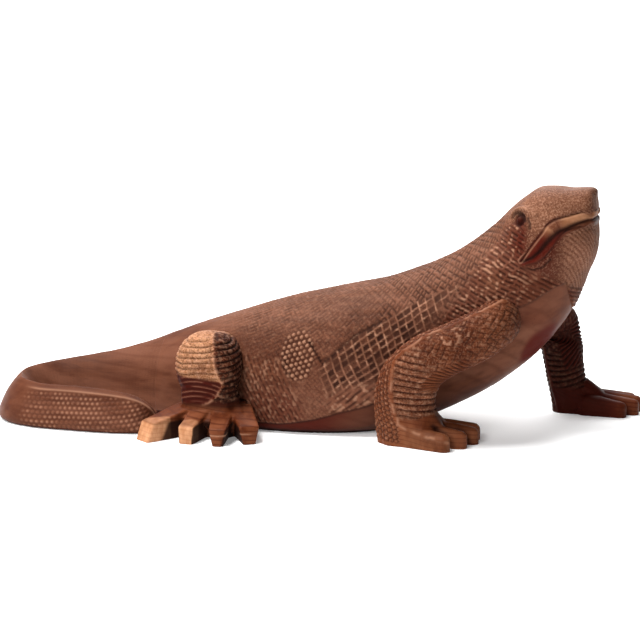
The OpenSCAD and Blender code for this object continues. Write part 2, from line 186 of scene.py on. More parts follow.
def grid(line, step, columns):
    """An even grid over a loft: points [ring, column, xyz], length along it, girth and u of each ring.
    Column 0 lies under the loft, a quarter round is its -Y side, and half round is its top."""
    t = np.linspace(0, 1, 60, endpoint=False)
    eased = t * t * (3 - 2 * t)
    angles = np.radians(np.concatenate([270 - 90 * (q + eased) for q in range(4)] + [[-90.0]]))
    fine = np.linspace(0, len(line) - 1, 1200)
    rough = rings_at(line, fine, angles[::12])
    gap = np.linalg.norm(np.diff(rough, axis=0), axis=2).mean(1)
    length = np.concatenate([[0], np.cumsum(gap)])
    count = max(8, int(round(length[-1] / step)))
    s = np.linspace(0, length[-1], count + 1)
    u = np.interp(s, length, fine)
    dense = rings_at(line, u, angles)
    out = np.empty((len(u), columns, 3))
    girth = np.empty(len(u))
    want = np.arange(columns) / columns
    for k, ring in enumerate(dense):
        run = np.concatenate([[0], np.cumsum(np.linalg.norm(np.diff(ring, axis=0), axis=1))])
        girth[k] = run[-1]
        for axis in range(3):
            out[k, :, axis] = np.interp(want * run[-1], run, ring[:, axis])
    return out, s, girth, u


def grid_faces(n, m):
    i, j = np.meshgrid(np.arange(n - 1), np.arange(m), indexing="ij")
    k = (j + 1) % m
    a, b, c, d = i * m + j, i * m + k, (i + 1) * m + k, (i + 1) * m + j
    return np.stack([a, b, c, d], -1).reshape(-1, 4)


def normals_of(points, quads):
    a, b, c, d = (points[quads[:, k]] for k in range(4))
    face = np.cross(c - a, d - b)
    out = np.zeros_like(points)
    for k in range(4):
        for axis in range(3):
            out[:, axis] += np.bincount(quads[:, k], weights=face[:, axis], minlength=len(points))
    return out / (np.linalg.norm(out, axis=1, keepdims=True) + 1e-12)


def outward(pts):
    """Faces of a grid turned to look out, their normals, the middle of each ring, and the end caps."""
    n, m = pts.shape[:2]
    flat, faces = pts.reshape(-1, 3), grid_faces(n, m)
    normal = normals_of(flat, faces)
    middle = np.repeat(pts.mean(1), m, 0)
    caps = [np.arange(m)[::-1], (n - 1) * m + np.arange(m)]
    if np.mean(np.sum(normal * (flat - middle), 1)) < 0:
        return faces[:, ::-1], -normal, middle, [cap[::-1] for cap in caps]
    return faces, normal, middle, caps


def hash01(*keys):
    h = np.zeros(np.broadcast(*keys).shape, np.uint32)
    for k, prime in zip(keys, (73856093, 19349663, 83492791, 2971215073)):
        h = h ^ (np.asarray(k).astype(np.int64) * prime & 0xFFFFFFFF).astype(np.uint32)
    h = (h ^ (h >> 15)) * np.uint32(2246822519)
    h = (h ^ (h >> 13)) * np.uint32(3266489917)
    return ((h ^ (h >> 16)) & np.uint32(0xFFFFFF)).astype(float) / 0xFFFFFF


def noise(points, size, seed=0):
    """Smooth value noise from 0 to 1, with lumps of about this size in mm, one number or one per axis."""
    q = points / np.asarray(size, float) + 100.0
    i = np.floor(q).astype(int)
    f = q - i
    f = f * f * (3 - 2 * f)
    total = np.zeros(len(points))
    for dx in (0, 1):
        for dy in (0, 1):
            for dz in (0, 1):
                w = ((f[:, 0] if dx else 1 - f[:, 0]) * (f[:, 1] if dy else 1 - f[:, 1])
                     * (f[:, 2] if dz else 1 - f[:, 2]))
                total += w * hash01(i[:, 0] + dx, i[:, 1] + dy, i[:, 2] + dz, np.full(len(points), seed))
    return total


def ease(x, low=0.0, high=1.0):
    t = np.clip((x - low) / (high - low), 0, 1)
    return t * t * (3 - 2 * t)


def cut(phase, share):
    """1 on the lines where phase is whole, falling to 0 within that share of the pitch."""
    d = np.abs(phase - np.round(phase))
    return np.clip(1 - d / share, 0, 1)


def from_line(points, path):
    """Distance to a path in space and how far along it, from 0 to 1, the nearest point lies."""
    path = np.asarray(path, float)
    best = np.full(len(points), 1e9)
    where = np.zeros(len(points))
    lengths = np.linalg.norm(np.diff(path, axis=0), axis=1)
    total, run = lengths.sum(), 0.0
    for a, b, size in zip(path[:-1], path[1:], lengths):
        t = np.clip(((points - a) @ (b - a)) / size ** 2, 0, 1)
        d = np.linalg.norm(points - (a + t[:, None] * (b - a)), axis=1)
        near = d < best
        best[near] = d[near]
        where[near] = (run + t[near] * size) / total
        run += size
    return best, where


def laid_on(points, path, per=6):
    """The path with extra points, each moved to the nearest point of the surface."""
    path = np.asarray(path, float)
    t = np.linspace(0, len(path) - 1, (len(path) - 1) * per + 1)
    fine = np.stack([np.interp(t, np.arange(len(path)), path[:, k]) for k in range(3)], 1)
    return np.array([points[np.argmin(((points - q) ** 2).sum(1))] for q in fine])


def bell(d, width):
    return np.exp(-(d / width) ** 2)


def away(points, place):
    return np.linalg.norm(points - np.array(place), axis=1)


def strokes(across, along, pitch, length, share=0.3, seed=0):
    """Short cuts in rows, from mm across and along the rows. Each row starts at a random place."""
    row = np.round(across / pitch)
    place = along / length + hash01(row, row * 0 + seed)
    part = place - np.floor(place)
    own = hash01(row, np.floor(place), row * 0 + seed + 1)
    taper = ease(part, 0.0, 0.16) * ease(1 - part, 0.0, 0.22)
    return cut(across / pitch, share) * taper * (0.55 + 0.45 * own)


def crossed(a, b, pitch, length, share, seed):
    """Strokes that run both ways."""
    return np.maximum(strokes(a, b, pitch, length, share, seed),
                      strokes(b, a, pitch, length, share, seed + 1))


def turned(a, b, degrees):
    """a turned toward b by this angle."""
    return a * math.cos(math.radians(degrees)) + b * math.sin(math.radians(degrees))


def dots(across, along, pitch, gap):
    """Rows of round dots, every other row offset: 1 at the middle of a dot, 0 between them."""
    row = across / pitch
    place = along / gap + 0.5 * (np.floor(row) % 2)
    fa, fb = row - np.floor(row) - 0.5, place - np.floor(place) - 0.5
    return np.clip(1 - (fa ** 2 + fb ** 2) / 0.21, 0, 1)


def blank(n):
    """Empty layers, which the makers fill in place under the names of LAYERS."""
    return {key: np.zeros(n) for key in LAYERS}


def placed(name, me):
    ob = bpy.data.objects.new(name, me)
    bpy.context.scene.collection.objects.link(ob)
    return ob


def finished(name, me, layers):
    """The mesh, smooth shaded, as an object, with the layers for its material."""
    me.polygons.foreach_set("use_smooth", np.ones(len(me.polygons), bool))
    for key, values in layers.items():
        at = me.attributes.new(key, "FLOAT", "POINT")
        at.data.foreach_set("value", np.clip(values, 0, 1).astype(np.float32))
    me.update()
    return placed(name, me)


def grid_object(name, points, faces, caps, layers):
    """An object made of a grid's faces and its two caps, from points in millimetres."""
    me = bpy.data.meshes.new(name)
    sizes = np.concatenate([np.full(len(faces), 4), [len(cap) for cap in caps]])
    loops = np.concatenate([faces.ravel(), *caps])
    me.vertices.add(len(points))
    me.vertices.foreach_set("co", ((points + SHIFT) * MM).astype(np.float32).ravel())
    me.loops.add(len(loops))
    me.loops.foreach_set("vertex_index", loops.astype(np.int32))
    me.polygons.add(len(sizes))
    me.polygons.foreach_set("loop_start", np.concatenate([[0], np.cumsum(sizes)[:-1]]).astype(np.int32))
    me.update(calc_edges=True)
    me.validate()
    return finished(name, me, layers)


# ---- body ----

# Lines carved on the right side, as x, y from the body's middle, z. The left side has their mirror image.
LIP_TOP = [[128.5, -5, 118.8], [127, -11, 118.4], [122, -17, 118], [116.5, -20.5, 116.5], [110.5, -23, 115],
           [107, -23.6, 112.5], [104.5, -23.8, 108.5], [101.5, -23.7, 104.5], [98, -23.2, 99.5],
           [94, -22.8, 93.5]]
MOUTH = [[129, 0, 114.8], [128.5, -10, 115], [125.5, -15.4, 114.5], [121, -19, 113.2], [118, -21, 111.8],
         [113, -23, 109.3], [109.5, -23.6, 106.5], [106.5, -23.7, 103], [103.5, -23.7, 99],
         [100, -23.4, 95.7], [95.5, -22.9, 93.5]]
LIP_LOW = [[129, 0, 111.5], [128.5, -9, 111.8], [122.5, -18.4, 111.5], [116.5, -21.9, 109.8],
           [113, -22.9, 106.6], [109.7, -23.1, 101], [106, -23.2, 96], [102, -23.2, 93], [97, -23.2, 91.5]]
JOWL = [[94, -23, 90.3], [100, -23, 89.2], [105, -22.7, 90.8], [109, -22.4, 95]]
CHIN = [[123.5, -17.5, 108.5], [127, -14.4, 110], [128.6, -10, 109], [129, -8, 104], [129.5, -4, 100.5]]
BROW = [[87.5, -12.5, 114.5], [89.5, -14.5, 118.3], [93, -17.5, 119.8], [97, -20.5, 119], [100.5, -22, 116.5]]
LID = [[88.4, -14.8, 114.2], [89.2, -15.4, 116.6], [92, -17.9, 117.4], [94.6, -20.2, 116],
       [95.6, -21.2, 113.4]]
LID_CORNER = [[96.7, -21.9, 115], [98, -22.8, 112.5], [98.2, -23.1, 110]]
EYE = [92.4, -19, 113.8]
# The edge between the hatched flank and the smooth belly and chest, as x, y, z on the right side.
EDGE = [[-105, -21, 2], [-84, -28, 3.5], [-45, -37, 5], [-27, -39, 5.2], [-9, -38.4, 8.7], [4.5, -37.4, 13],
        [21, -34, 18], [40, -31, 31], [60, -27, 47], [75, -23, 60], [86, -20, 67.6], [93, -18.2, 69.6],
        [99, -16.5, 72.5], [105, -14.8, 76.4], [111, -12.8, 80.2], [116, -9.6, 82.1]]
THROAT_TIP = [118.5, 5, 66]
# The net on the flank: the upper edge of its band, the cut that marks that edge, and its pitch both ways.
BAND_TOP_X = [-12, -1, 11, 24, 40, 52, 70]
BAND_TOP_Z = [30, 42, 53, 60, 70, 76, 84]
BAND_CUT = [[-13, 0, 49.5], [-4.5, 0, 38.5], [11, 0, 53], [24, 0, 60.5]]
NET_A, NET_B = 4.2, 3.2
NECK_PITCH = 2.2
HEAD_Y = 5                                 # how far the middle of the head is off the middle of the hips
FAR = 50                                   # a distance too large for a line to show


def make_body():
    columns = int(440 / FINE) // 4 * 4
    step = 0.55 * FINE
    pts, s_ring, girth, u = grid(BODY, step, columns)
    n, m = pts.shape[:2]
    centre = rows_at(BODY, u)[:, 1]
    flat = pts.reshape(-1, 3)
    s = np.repeat(s_ring, m)                      # mm along the body
    g = np.repeat(girth, m)
    v = np.tile(np.arange(m) / m, n)
    vv = np.minimum(v, 1 - v)                     # 0 under, .5 on top, the same on both sides
    lat = flat[:, 1] - np.repeat(centre, m)
    faces, normal, _, caps = outward(pts)
    # the right side, with the left side folded onto it, and Y counted from the head's middle
    near = np.stack([flat[:, 0], np.repeat(centre, m) - np.abs(lat) - HEAD_Y, flat[:, 2]], 1)
    x, z = flat[:, 0], flat[:, 2]
    out = blank(len(flat))
    dark, wear_and_glint, sap, red, plain, grit = out.values()
    depth = np.zeros(len(flat))

    # the edge of the hatching, found on the surface
    right = np.nonzero((v < 0.5) & (s > 0))[0]

    def on_surface(p):
        k = right[np.argmin(((flat[right] - np.array(p)) ** 2).sum(1))]
        return s[k], vv[k]

    line = np.array([on_surface(p) for p in EDGE])
    edge = np.interp(s, line[:, 0], line[:, 1])
    tip_s = on_surface(THROAT_TIP)[0]
    meet_s, meet_v = line[-1]
    v_throat = np.where(s < tip_s, 0, np.clip((s - tip_s) / (meet_s - tip_s), 0, 1) * meet_v)
    over = (vv - edge) * g                        # mm above the edge
    throat = (v_throat - vv) * g                  # mm inside the throat's point
    past = s > meet_s
    hatched = np.where(past, 1.0, np.maximum(ease(over, -0.3, 0.5), ease(throat, -0.3, 0.5)))
    smooth = 1 - hatched

    wob = noise(flat, 14, 3) - 0.5
    jit = noise(flat, 4, 4) - 0.5
    patch = noise(flat, 9, 5)
    w = vv * g
    # the back: long strokes that climb across the body, crossed by short ones
    c1 = turned(w, -s, 33) + 1.5 * wob + 0.35 * jit
    c2 = turned(s, w, 33) + 1.5 * wob + 0.35 * jit
    fine_a = strokes(c1, c2, 2.1, 7.0, 0.42, 21)
    fine_b = strokes(c2, c1, 2.4, 4.4, 0.34, 22)
    wider = np.maximum(strokes(c1, c2, 2.9, 9.0, 0.34, 23), strokes(c2, c1, 2.9, 6.0, 0.30, 24))
    # zones, told apart by place on the side
    q = x - 0.615 * z
    crown = ease(z - 114 - 0.35 * (x - 93), -1.5, 1.5) * ease(x, 78, 88)
    front = ease(x, 96, 100) * ease(z - 92 + 0.57 * (x - 97), -2, 2)
    neck = ease(q, 14, 20) * (1 - crown) * (1 - front) * ease(z, 56, 62)
    lip_z = np.interp(x, [p[0] for p in LIP_TOP[::-1]], [p[2] for p in LIP_TOP[::-1]])
    muzzle = ease(x, 94, 99) * ease(z - lip_z, 0.5, 2.0)
    band = ease(np.interp(x, BAND_TOP_X, BAND_TOP_Z) - z, -1, 2) * ease(x + 0.25 * z, 1, 6)
    band *= (1 - ease(q, 10, 16)) * ease(over, 0, 2)
    bead_x, bead_z = x + 18 - 0.15 * (z - 42), z - 41.5
    bead_zone = ease(1.15 - np.sqrt(((bead_x + 0.18 * bead_z) / 8.6) ** 2 + (bead_z / 12.0) ** 2), 0, 0.2)
    hip = ease(x, -54, -46) * (1 - ease(x + 0.45 * z, -14, 0)) * ease(44 - z, 0, 8) * ease(over, 0, 1.5)

    # coarse net on the flank behind the front leg
    ga = turned(x, z, 24) + 1.3 * wob + 0.8 * jit
    gb = turned(z, -x, 37) + 1.3 * wob + 0.6 * jit
    net_a = cut(ga / NET_A, 0.16) * (0.25 + 0.75 * ease(noise(flat, 5, 34), 0.25, 0.5))
    net_b = cut(gb / NET_B, 0.19) * (0.25 + 0.75 * ease(noise(flat, 5, 35), 0.25, 0.5))
    low_band = ease(30 - z + 0.3 * (x - 10), 0, 7)
    slits = strokes(gb, ga, 2.5, 12.0, 0.36, 33)
    net = np.maximum(net_a, net_b)
    cell = hash01(np.floor(ga / NET_A), np.floor(gb / NET_B), ga * 0 + 36)
    nick = np.maximum(strokes(gb + NET_B / 2, ga, NET_B, 3.4, 0.20, 37),
                      strokes(ga + NET_A / 2, gb, NET_A, 3.0, 0.14, 38))
    pit = (1 - ease(net, 0.0, 0.6)) * np.maximum(0.38 + 0.60 * cell, nick)

    # raised beads on the flank
    bead_a = (0.93 * bead_z - 0.36 * bead_x + 0.5 * jit) / 2.5
    bead_b = (0.93 * bead_x + 0.36 * bead_z + 0.5 * jit) / 2.7 + 0.5 * (np.floor(bead_a) % 2)
    own = hash01(np.floor(bead_a), np.floor(bead_b), bead_a * 0 + 9)
    fa = bead_a - np.floor(bead_a) - 0.5 + 0.16 * (own - 0.5)
    fb = bead_b - np.floor(bead_b) - 0.5 + 0.20 * (0.5 - own)
    bead = np.clip(1 - (fa ** 2 + fb ** 2) / (0.15 + 0.07 * own), 0, 1)

    # strokes near the hind leg, on the neck and below the beads
    hip_c = strokes(0.87 * x + 0.5 * z + 0.8 * jit, 0.5 * x - 0.87 * z, 2.3, 5.0, 0.36, 41)
    neck_a = 0.47 * x + 0.88 * z + 1.8 * wob + 1.1 * jit
    neck_b = 0.88 * x - 0.47 * z
    neck_long = ease(x, 88, 100)
    neck_c = np.where(neck_long > 0.5, strokes(neck_a, neck_b, NECK_PITCH, 15.0, 0.30, 43),
                      strokes(neck_a, neck_b, NECK_PITCH, 5.4, 0.36, 42))
    crest = 1 - cut(neck_a / NECK_PITCH, 0.5)
    dia_a, dia_b = (x + z + jit) / 1.414, (x - z + jit) / 1.414
    diamond = crossed(dia_a, dia_b, 1.9, 5.0, 0.32, 51)
    slant = cut((0.75 * near[:, 1] + 0.66 * z + 0.5 * jit) / 1.5, 0.34)
    glint = ease(noise(flat, 1.5, 8), 0.56, 0.78)

    calm = (0.12 + 0.88 * ease(x + 0.2 * z, -70, -25)) * ease(x, -103, -85)
    fine_w = hatched.copy()
    for zone in (band, bead_zone, hip, neck, crown, front, muzzle):
        fine_w *= 1 - zone
    mixed = fine_w * ease(40 - z + 0.35 * x, -4, 8) * ease(x, -40, -30)
    shoulder = ease(x, 0, 30)
    fine = np.maximum(fine_a, 0.8 * fine_b) * (1 - shoulder) + wider * shoulder
    strong = 1 + 0.5 * shoulder
    depth -= (fine_w - mixed) * calm * 0.45 * strong * (0.5 + 0.8 * patch) * fine
    dark += (fine_w - mixed) * calm * strong * fine * (0.50 + 0.6 * patch)
    quiet = ease(x, -98, -55)
    # painted sheen: the top of the back is paler, as if lit from above; then painted glints between the fine
    # strokes
    wear_and_glint += 0.10 * ease(vv, 0.30, 0.46) * (1 - crown) * quiet
    wear_and_glint += fine_w * calm * (1 - fine) * glint * 0.12
    grit += fine_w * calm * 0.15 + 0.10 * hatched * quiet
    depth -= mixed * 0.40 * diamond
    dark += mixed * diamond * 0.65
    high_band, slit_band = hatched * band * (1 - low_band), hatched * band * low_band
    depth += high_band * (0.75 * net - 0.45) + slit_band * (0.30 - 0.85 * slits)
    dark += high_band * pit + slit_band * slits
    # pale net lines with painted glints on them
    wear_and_glint += high_band * net * (0.28 + 0.72 * glint) + slit_band * (1 - slits) * glint * 0.6
    v_d, _ = from_line(flat * [1, 0, 1], BAND_CUT)
    depth -= 0.5 * hatched * bell(v_d, 0.6)
    dark += 0.7 * hatched * bell(v_d, 0.65)
    on_beads, on_hip, side_neck = hatched * bead_zone, hatched * hip, neck * (1 - muzzle)
    depth += on_beads * (bead - 0.40)
    dark += on_beads * (1 - ease(bead, 0.0, 0.5)) * 0.6
    # the beads are pale, with painted highlights on them
    wear_and_glint += on_beads * ease(bead, 0.25, 0.8) * (0.50 + 0.50 * own)
    depth += on_hip * (0.15 - 0.75 * hip_c)
    dark += on_hip * hip_c * 0.95
    # painted glints: pale flecks between the hip strokes
    wear_and_glint += on_hip * (1 - hip_c) * ease(noise(flat, [1.0, 1.0, 1.5], 14), 0.55, 0.75) * 0.45
    red += on_hip * 0.38 * ease(36 - z, 0, 22)
    on_neck = hatched * side_neck
    depth += on_neck * (0.15 + 0.15 * crest - 0.9 * neck_c)
    dark += on_neck * neck_c
    # painted glints on the crests between the neck strokes
    wear_and_glint += on_neck * (1 - neck_c) * glint * crest * (1 - 0.6 * neck_long)
    head = np.maximum(crown, muzzle)
    grit += head
    sap += 0.20 * head
    wear_and_glint += 0.10 * head
    jaw = front * (1 - muzzle)
    chin = jaw * ease(x, 112, 118)
    depth -= chin * 0.20 * slant
    dark += 0.30 * jaw * (1 - chin) + chin * slant * 0.36
    wear_and_glint += chin * (1 - slant) * 0.26
    grit += 0.6 * jaw
    sap += 0.28 * side_neck * bell(away(near, [80, -28, 84]), 8)
    red += 0.50 * jaw * (1 - ease(x, 108, 116)) + 0.32 * side_neck

    # the edge of the hatching, and the smooth band under it
    low = np.where(past, 0.0, smooth * ease(-over, 0.0, 1.2))
    depth -= low * 0.55
    # the smooth band is darker, and the lowest 2.4 mm is painted shade where the body meets the floor
    dark += 0.30 * low * (1 - ease(x, 60, 90)) + 0.75 * ease(2.4 - z, 0, 2)
    line_d = np.minimum(np.where(past, FAR, np.abs(over + 0.2)),
                        np.where((s < tip_s) | past, FAR, np.abs(throat + 0.2)))
    depth -= 0.45 * bell(line_d, 0.55)
    dark += 0.85 * bell(line_d, 0.6) * (1 - ease(x, 84, 92) * 0.4)
    plain += smooth
    # painted highlight: a pale sheen on the upper part of the smooth chest
    wear_and_glint += smooth * 0.20 * ease(z + 0.5 * (x - 100), 62, 80) * (0.6 + 0.8 * wob)
    red += smooth * (0.30 + 0.5 * ease(-x, -20, 10)) * ease(40 - z, 0, 25)
    # the reddish patch on the chest, longest along the slope
    slope = np.array([0.60, 0.0, 0.80])
    blot = near - np.array([101, -4, 52])
    stretch = blot @ slope
    wide = np.linalg.norm(blot - stretch[:, None] * slope, axis=1)
    red += smooth * ease(1.25 - np.hypot(stretch / 15, wide / 10) + 0.5 * wob, 0, 0.5) * 0.95

    # lips, mouth, jowl, chin, brow and eye
    u_d, u_t = from_line(near, LIP_TOP)
    m_d, m_t = from_line(near, MOUTH)
    l_d, _ = from_line(near, LIP_LOW)
    gape = bell(m_t - 0.62, 0.2)                  # the mouth is widest where it turns down

    def groove(path, deep, wide, shade, shade_wide):
        d, _ = from_line(near, path)
        depth[:] -= deep * bell(d, wide)
        dark[:] += shade * bell(d, shade_wide)

    lip = ease(4.7 + 1.9 * gape - (u_d + m_d), 0, 0.7) * (x > 92)
    lower = ease(4.3 - (l_d + m_d), -0.2, 0.7)
    plain_lips = np.maximum(lip, lower)
    depth *= 1 - 0.85 * plain_lips
    dark *= 1 - 0.9 * plain_lips
    wear_and_glint *= 1 - plain_lips
    depth += 0.65 * lip * ease(u_d, 0.0, 0.8) + 0.35 * lower
    depth -= 0.5 * bell(u_d, 0.5) * ease(u_t, 0.0, 0.05)
    dark += 0.6 * bell(u_d, 0.55)
    widen = 1 + 0.9 * gape
    depth -= 1.5 * bell(m_d, 0.75 * widen)
    dark += bell(m_d, 0.85 * widen)
    red += 0.8 * bell(m_d, 2.0 * widen) * ease(m_t, 0.35, 0.6)
    groove(LIP_LOW, 0.5, 0.5, 0.65, 0.5)
    groove(JOWL, 0.45, 0.6, 0.6, 0.6)
    groove(CHIN, 0.3, 0.5, 0.5, 0.45)
    sap += 0.52 * lip * ease(0.80 - u_t, 0, 0.25)
    # painted highlight along the lower edge of the upper lip
    wear_and_glint += 0.45 * bell(u_d - 1.0, 0.35) * lip
    plain += plain_lips
    grit *= 1 - plain_lips

    e = away(near, EYE)
    b_d, _ = from_line(near, BROW)
    socket = ease(4.5 - e, 0, 1.7)
    depth *= 1 - socket
    dark *= 1 - 0.8 * socket
    wear_and_glint *= 1 - socket
    depth -= 1.1 * socket
    depth += 1.3 * bell(b_d, 1.25)
    wear_and_glint += 0.30 * bell(b_d, 0.7)
    groove(LID, 0.9, 0.7, 1.0, 0.9)
    groove(LID_CORNER, 0.8, 0.7, 0.9, 0.7)
    ball = np.clip(1 - (e / 1.9) ** 2, 0, 1)
    depth += 1.7 * np.sqrt(ball)
    dark += 0.60 * ease(ball, 0, 0.3) + 0.85 * socket * (1 - ease(ball, 0, 0.3))
    grit *= 1 - socket
    plain += socket
    red += 0.7 * socket

    flush = bell(away(near, [97, -23, 103]), 9.0) * (1 - plain_lips)
    red += 0.45 * flush
    dark += 0.10 * flush

    # nose knob at the top of the snout
    nose = bell(away(near, [127, -3.2, 127.3]), 1.9)
    depth += nose
    dark += 0.75 * nose

    # slight unevenness left by the knife
    depth += 0.35 * (noise(flat, [11, 8, 8], 11) - 0.5)
    depth += 0.18 * (noise(flat, [4.5, 4, 4], 12) - 0.5) * (1 - 0.5 * smooth)
    depth *= ease(s, 0, 2.0)                      # none where the tail butts on
    ground = flat[:, 2] <= 0.02
    depth[ground] = 0
    moved = flat + normal * depth[:, None]
    moved[:, 2] = np.maximum(moved[:, 2], 0)
    moved[ground, 2] = 0
    return grid_object("carved_body", moved, faces, caps, out)


# ---- tail ----

def make_tail():
    columns = int(220 / FINE) // 4 * 4
    step = 0.55 * FINE
    pts, s_ring, girth, _ = grid(TAIL, step, columns)
    n, m = pts.shape[:2]
    flat = pts.reshape(-1, 3)
    faces, normal, middle, caps = outward(pts)
    s = np.repeat(s_ring, m)
    g = np.repeat(girth, m)
    v = np.tile(np.arange(m) / m, n)          # 0 under, .25 outside of the bend, .5 top, .75 inside
    out = blank(len(flat))
    dark, wear_and_glint, _, red, plain, _ = out.values()
    z = flat[:, 2]
    patch = noise(flat, 9, 25)
    wob = noise(flat, 14, 23) - 0.5
    back = ease(s, 112, 122)                  # the run that comes back
    low = ease(1.7 - z + 0.6 * wob, 0, 0.6)
    smooth = np.maximum(low, bell(s - 102, 8) * ease(z - 3, 0, 3) * ease(0.42 - np.abs(v - 0.25), 0, 0.1))
    lines = m / 2.0
    fine_a = cut(v * lines, 0.34)
    strong = hash01(np.floor(v * lines), np.floor(s / 4), v * 0 + 5) > 0.4
    fine_b = cut(s / (4 * step), 0.34) * np.where(strong, 1.0, 0.3)
    fine = np.maximum(0.9 * fine_a, fine_b)
    side = ease(0.20 - np.abs(v - 0.26), 0, 0.04) * back * (1 - low)
    dot = dots(v * g, s, 2.5, 2.7)
    fine_w, dotted = (1 - side) * (1 - smooth), side * (1 - smooth)
    depth = -fine_w * 0.05 * (0.5 + patch) * fine
    dark += fine_w * fine * (0.04 + 0.16 * patch)
    depth += dotted * (-0.2 + 0.5 * dot)
    dark += dotted * (1 - ease(dot, 0, 0.5)) * 0.32
    wear_and_glint += dotted * ease(dot, 0.45, 1.0) * 0.50 * ease(noise(flat, 4, 27), 0.3, 0.7)
    ridge = bell((v - 0.455) * g, 1.1) * back
    depth += 0.6 * ridge
    # painted highlight along the ridge of the run that comes back
    wear_and_glint += 0.55 * bell((v - 0.455) * g, 0.5) * back
    dark *= 1 - 0.8 * ridge
    # painted shade: the strip along the bottom, where the tail meets the floor, is darkened here and reddened
    # below
    dark += 0.55 * low
    depth += 0.4 * (noise(flat, [11, 8, 8], 31) - 0.5) + 0.15 * (noise(flat, [4.5, 4, 4], 32) - 0.5)
    depth *= ease(s, 0, 0.8)
    plain += smooth
    red += 0.35 * low
    ground = z <= 0.02
    depth[ground] = 0
    moved = flat + normal * depth[:, None]
    # the lower edge is rounded under
    offset = flat[:, :2] - middle[:, :2]
    reach = np.linalg.norm(offset, axis=1) + 1e-9
    under = np.clip(1 - z / 4.5, 0, 1)
    pull = np.minimum(2.6 * (1 - np.sqrt(1 - under ** 2)), 0.3 * reach) * ease(s, 4, 24)
    moved[:, :2] -= offset / reach[:, None] * pull[:, None]
    moved[:, 2] = np.maximum(moved[:, 2], 0)
    moved[ground, 2] = 0
    return grid_object("carved_tail", moved, faces, caps, out)


# ---- legs ----

def disc(x, y, z, d, sides=20):
    return [(x + d / 2 * math.cos(a), y + d / 2 * math.sin(a), z)
            for a in np.linspace(0, 2 * math.pi, sides, endpoint=False)]


def ball(x, y, z, d, sides=20):
    points = [(x, y, z + d / 2), (x, y, z - d / 2)]
    for b in np.pi * np.arange(1, 9) / 9:
        points += disc(x, y, z + d / 2 * math.cos(b), d * math.sin(b), sides)
    return points


def hull(points):
    bm = bmesh.new()
    for p in points:
        bm.verts.new(p)
    made = bmesh.ops.convex_hull(bm, input=bm.verts)
    inside = [e for e in made["geom_interior"] if isinstance(e, bmesh.types.BMVert)]
    bmesh.ops.delete(bm, geom=inside, context="VERTS")
    bm.verts.index_update()
    shell = [tuple(v.co) for v in bm.verts], [[v.index for v in f.verts] for f in bm.faces]
    bm.free()
    return shell


def toe(t, w, taper=0.78):
    tip_w = w * taper
    return hull(ball(*t[:3], w) + ball(*t[3:], tip_w) + disc(t[0], t[1], -1, w) + disc(t[3], t[4], -1, tip_w))


def hind_toe(t, w, under, reach, taper=0.82, edge=1.8):
    """A toe with straight sides that lean in under it, and two facets at its end that meet in a low ridge."""
    knuckle, tip = np.array(t[:2], float), np.array(t[3:5], float)
    ahead = (tip - knuckle) / np.linalg.norm(tip - knuckle)
    side = np.array([-ahead[1], ahead[0]])
    points = []
    for k in (-1, 1):
        for at, z, wide, past in ((knuckle, t[2], w, 0), (tip, t[5], w * taper, reach)):
            top = at + side * k * (wide - edge) / 2
            low = at + side * k * wide * under / 2 + past * ahead
            points += ball(*top, z - edge / 2, edge, 10) + disc(*low, -1, edge, 10)
    return hull(points + ball(*(tip + ahead * 1.1), t[5] * 0.52, edge, 10))


def pad(pads):
    points = []
    for p in pads:
        points += ball(*p) + disc(p[0], p[1], -1, p[3])
    return hull(points)


def closed_grid(line, step, columns):
    pts = grid(line, step, columns)[0]
    n, m = pts.shape[:2]
    faces = grid_faces(n, m).tolist()
    return pts.reshape(-1, 3).tolist(), faces + [list(range(m)), list(range((n - 1) * m, n * m))]


def plain_object(name, shells):
    verts, faces = [], []
    for v, f in shells:
        k = len(verts)
        verts += [tuple(p) for p in v]
        faces += [[i + k for i in face] for face in f]
    me = bpy.data.meshes.new(name)
    me.from_pydata(verts, [], faces)
    bm = bmesh.new()
    bm.from_mesh(me)
    bmesh.ops.recalc_face_normals(bm, faces=bm.faces)
    bm.to_mesh(me)
    bm.free()
    return placed(name, me)


def sculpt(name, shells):
    """One even skin round all shells, with the body's shape taken out of its root."""
    raw = plain_object(name + "_raw", shells)
    skin = raw.modifiers.new("skin", "REMESH")
    skin.mode = "VOXEL"
    skin.voxel_size = 0.5 * FINE
    soft = raw.modifiers.new("soft", "SMOOTH")
    soft.factor, soft.iterations = 0.5, 8
    fit = raw.modifiers.new("fit", "BOOLEAN")
    fit.operation, fit.object, fit.solver = "DIFFERENCE", body_block, "MANIFOLD"
    bpy.context.view_layer.update()
    done = raw.evaluated_get(bpy.context.evaluated_depsgraph_get())
    me = bpy.data.meshes.new_from_object(done)
    me.materials.clear()
    me.polygons.foreach_set("material_index", np.zeros(len(me.polygons), np.int32))
    bpy.data.objects.remove(raw)
    bm = bmesh.new()
    bm.from_mesh(me)
    for v in bm.verts:
        v.co.z = max(v.co.z, 0.0)
    bmesh.ops.triangulate(bm, faces=[f for f in bm.faces if len(f.verts) > 4])
    bm.to_mesh(me)
    bm.free()
    return me


def mesh_arrays(me):
    """The points of a mesh and its normals there."""
    arrays = []
    for items, key in ((me.vertices, "co"), (me.vertex_normals, "vector")):
        values = np.empty(len(items) * 3, np.float32)
        items.foreach_get(key, values)
        arrays.append(values.reshape(-1, 3).astype(float))
    return arrays


